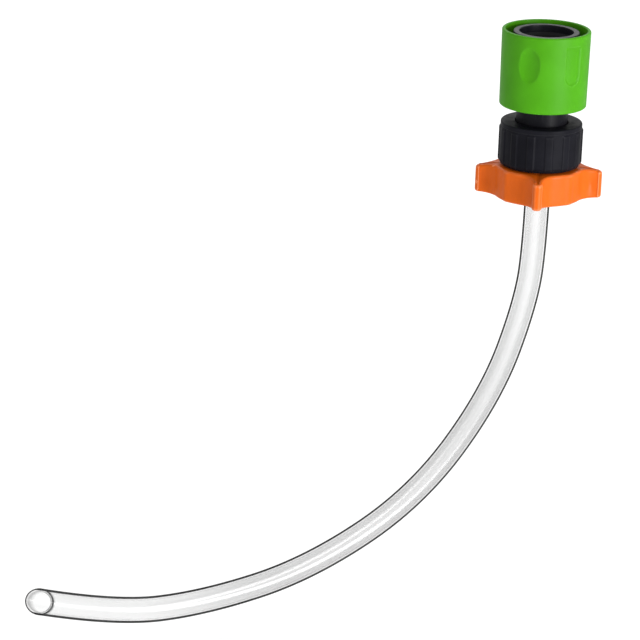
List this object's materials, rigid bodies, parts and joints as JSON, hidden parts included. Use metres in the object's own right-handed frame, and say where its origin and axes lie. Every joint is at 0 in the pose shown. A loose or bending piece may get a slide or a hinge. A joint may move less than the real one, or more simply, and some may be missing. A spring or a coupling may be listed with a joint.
{
  "type": "siphon hose with push-fit coupler",
  "caption": "Push-fit hose coupler with a sliding release sleeve, a swivel union nut and a winged clamp nut that holds a curved clear siphon hose with a slant-cut open end.",
  "frame": {"origin": "middle of the coupler's mouth, in the plane of the mouth ring's top face", "axes": "+Z along the coupler's axis, out of the mouth; the hose leaves along -Z and curves towards -X, 30 degrees towards -Y; -Y is the front"},
  "size_m": [0.2247, 0.1405, 0.2286],
  "materials": {
    "green_shell": "bright green moulded plastic, satin gloss",
    "black_plastic": "black moulded plastic with a soft sheen",
    "black_nut": "black moulded plastic, fine satin",
    "orange_plastic": "orange moulded plastic, satin gloss",
    "white_plastic": "natural white acetal",
    "spring_steel": "drawn stainless wire and strip",
    "seal_rubber": "black seal rubber",
    "clear_hose": "clear soft PVC tube"
  },
  "bodies": {
    "socket": {"coupler_body": "black_plastic", "mouth_ring": "black_plastic", "socket_o_ring": "seal_rubber", "swivel_clip": "spring_steel", "sleeve_spring": "spring_steel"},
    "sleeve": {"release_sleeve": "green_shell"},
    "claw_1": {"claw_1": "white_plastic"},
    "claw_2": {"claw_2": "white_plastic"},
    "claw_3": {"claw_3": "white_plastic"},
    "claw_4": {"claw_4": "white_plastic"},
    "union": {"union_nut": "black_nut"},
    "tail": {"barb_fitting": "black_plastic", "hose": "clear_hose", "seal_washer": "seal_rubber"},
    "grip": {"grip_ring": "white_plastic"},
    "clamp": {"clamp_nut": "orange_plastic"}
  },
  "joints": [
    {"name": "sleeve_slide", "type": "slide", "parent": "socket", "child": "sleeve", "axis": [0, 0, -1], "range_m": [0, 0.0055], "stiffness_N_per_m": 700, "springref_m": -0.003, "deforming": ["sleeve_spring"]},
    {"name": "claw_1_slide", "type": "slide", "parent": "socket", "child": "claw_1", "axis": [1, 0, 0], "range_m": [0, 0.0011]},
    {"name": "claw_2_slide", "type": "slide", "parent": "socket", "child": "claw_2", "axis": [0, 1, 0], "range_m": [0, 0.0011]},
    {"name": "claw_3_slide", "type": "slide", "parent": "socket", "child": "claw_3", "axis": [-1, 0, 0], "range_m": [0, 0.0011]},
    {"name": "claw_4_slide", "type": "slide", "parent": "socket", "child": "claw_4", "axis": [0, -1, 0], "range_m": [0, 0.0011]},
    {"name": "union_nut_spin", "type": "hinge", "parent": "socket", "child": "union", "pos_m": [0, 0, -0.0463], "axis": [0, 0, 1], "range_deg": [0, 1440]},
    {"name": "tail_slide", "type": "slide", "parent": "socket", "child": "tail", "axis": [0, 0, -1], "range_m": [0, 0.00725]},
    {"name": "grip_slide", "type": "slide", "parent": "tail", "child": "grip", "axis": [0, 0, -1], "range_m": [0, 0.00599]},
    {"name": "clamp_nut_spin", "type": "hinge", "parent": "grip", "child": "clamp", "pos_m": [0, 0, -0.0623], "axis": [0, 0, -1], "range_deg": [0, 1080]}
  ],
  "couplings": [
    {"joint": "claw_1_slide", "follows": "sleeve_slide", "ratio": 0.2},
    {"joint": "claw_2_slide", "follows": "sleeve_slide", "ratio": 0.2},
    {"joint": "claw_3_slide", "follows": "sleeve_slide", "ratio": 0.2},
    {"joint": "claw_4_slide", "follows": "sleeve_slide", "ratio": 0.2},
    {"joint": "union_nut_spin", "follows": "tail_slide", "rad_per_m": 3463.2},
    {"joint": "clamp_nut_spin", "follows": "grip_slide", "rad_per_m": 3141.6}
  ]
}
